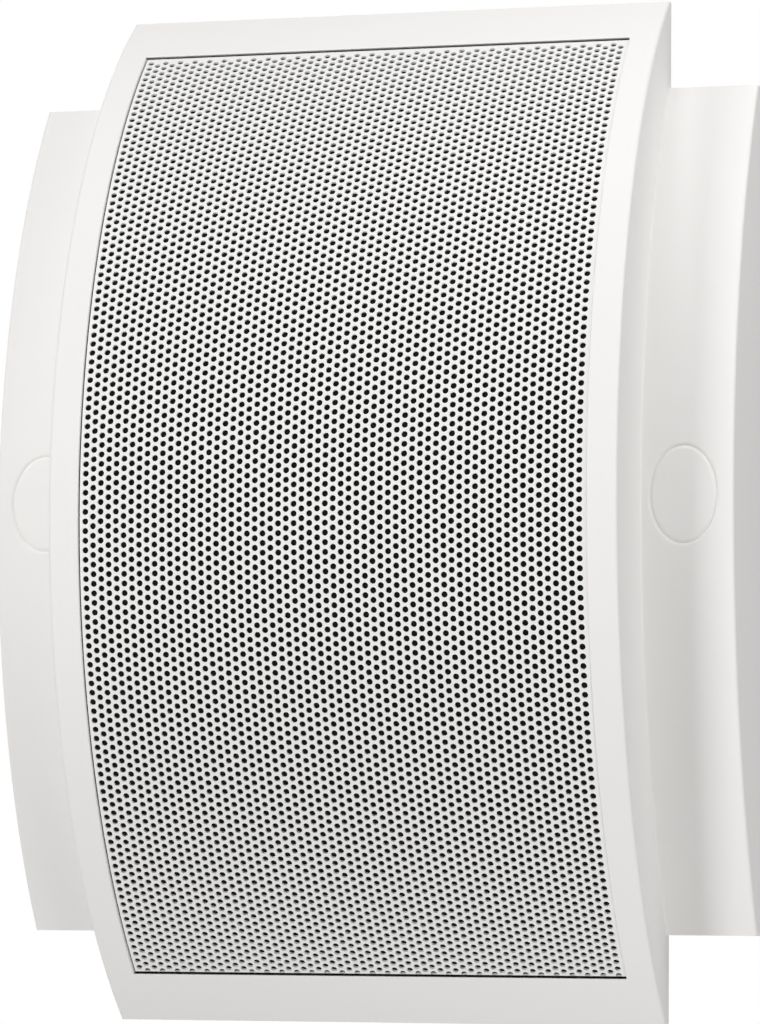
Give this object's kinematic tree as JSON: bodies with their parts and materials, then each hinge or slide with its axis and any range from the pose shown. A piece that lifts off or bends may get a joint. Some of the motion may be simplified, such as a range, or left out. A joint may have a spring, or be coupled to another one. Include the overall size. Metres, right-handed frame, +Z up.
{
  "type": "surface-mounted ceiling speaker",
  "caption": "Ceiling or wall loudspeaker: tall bowed white cabinet with a perforated metal front, crossing a lower bow that shows as wings with oval screw caps.",
  "frame": {"origin": "centre of the back panel's rear face, in the plane of the wall, at the middle of the wall screw pattern", "axes": "+Z up the long side, +X to the right as seen from the front, +Y into the wall; the grille faces -Y"},
  "size_m": [0.2, 0.072, 0.275],
  "materials": {
    "white_abs": "fine satin moulded ABS",
    "white_powder_coat": "satin powder coat on perforated steel",
    "black_cloth": "thin acoustic cloth",
    "grey_abs": "satin moulded ABS",
    "zinc_steel": "zinc plated",
    "black_rubber": "matt",
    "black_board": "black-stained fibreboard",
    "black_paint": "satin black on pressed steel",
    "foam": "closed-cell foam",
    "cone_paper": "pressed paper pulp",
    "spider_cloth": "resin-dipped cotton",
    "bare_aluminium": "foil",
    "copper_wire": "enamelled copper",
    "ferrite": "ground ferrite",
    "phenolic": "paper laminate",
    "brass": "bright",
    "core_steel": "varnished laminations",
    "bobbin_nylon": "moulded nylon",
    "coil_tape": "polyester tape",
    "block_nylon": "natural nylon",
    "lead_pvc": "PVC insulation"
  },
  "bodies": {
    "housing": {"cabinet": "white_abs", "grille": "white_powder_coat", "grille_cloth": "black_cloth", "screw_cap_left": "white_abs", "screw_cap_right": "white_abs", "cabinet_screws": "zinc_steel", "back_panel": "grey_abs", "cable_grommet": "black_rubber", "baffle": "black_board", "baffle_screws": "zinc_steel", "basket": "black_paint", "front_gasket": "foam", "surround": "black_rubber", "spider": "spider_cloth", "top_plate": "zinc_steel", "magnet": "ferrite", "yoke": "zinc_steel", "terminal_strip": "phenolic", "terminal_lugs": "brass", "driver_screws": "zinc_steel", "transformer_core": "core_steel", "transformer_bobbin": "bobbin_nylon", "transformer_winding": "coil_tape", "transformer_bracket": "zinc_steel", "transformer_screws": "zinc_steel", "terminal_block": "block_nylon", "clamp_screws": "brass", "block_screws": "zinc_steel", "supply_leads": "lead_pvc", "driver_leads": "lead_pvc"},
    "diaphragm": {"cone": "cone_paper", "dust_cap": "cone_paper", "coil_former": "bare_aluminium", "voice_coil": "copper_wire"}
  },
  "joints": [
    {"name": "cone_travel", "type": "slide", "parent": "housing", "child": "diaphragm", "axis": [0, -1, 0], "range_m": [-0.0015, 0.0015], "stiffness_N_per_m": 2000, "deforming": ["surround", "spider"]}
  ]
}
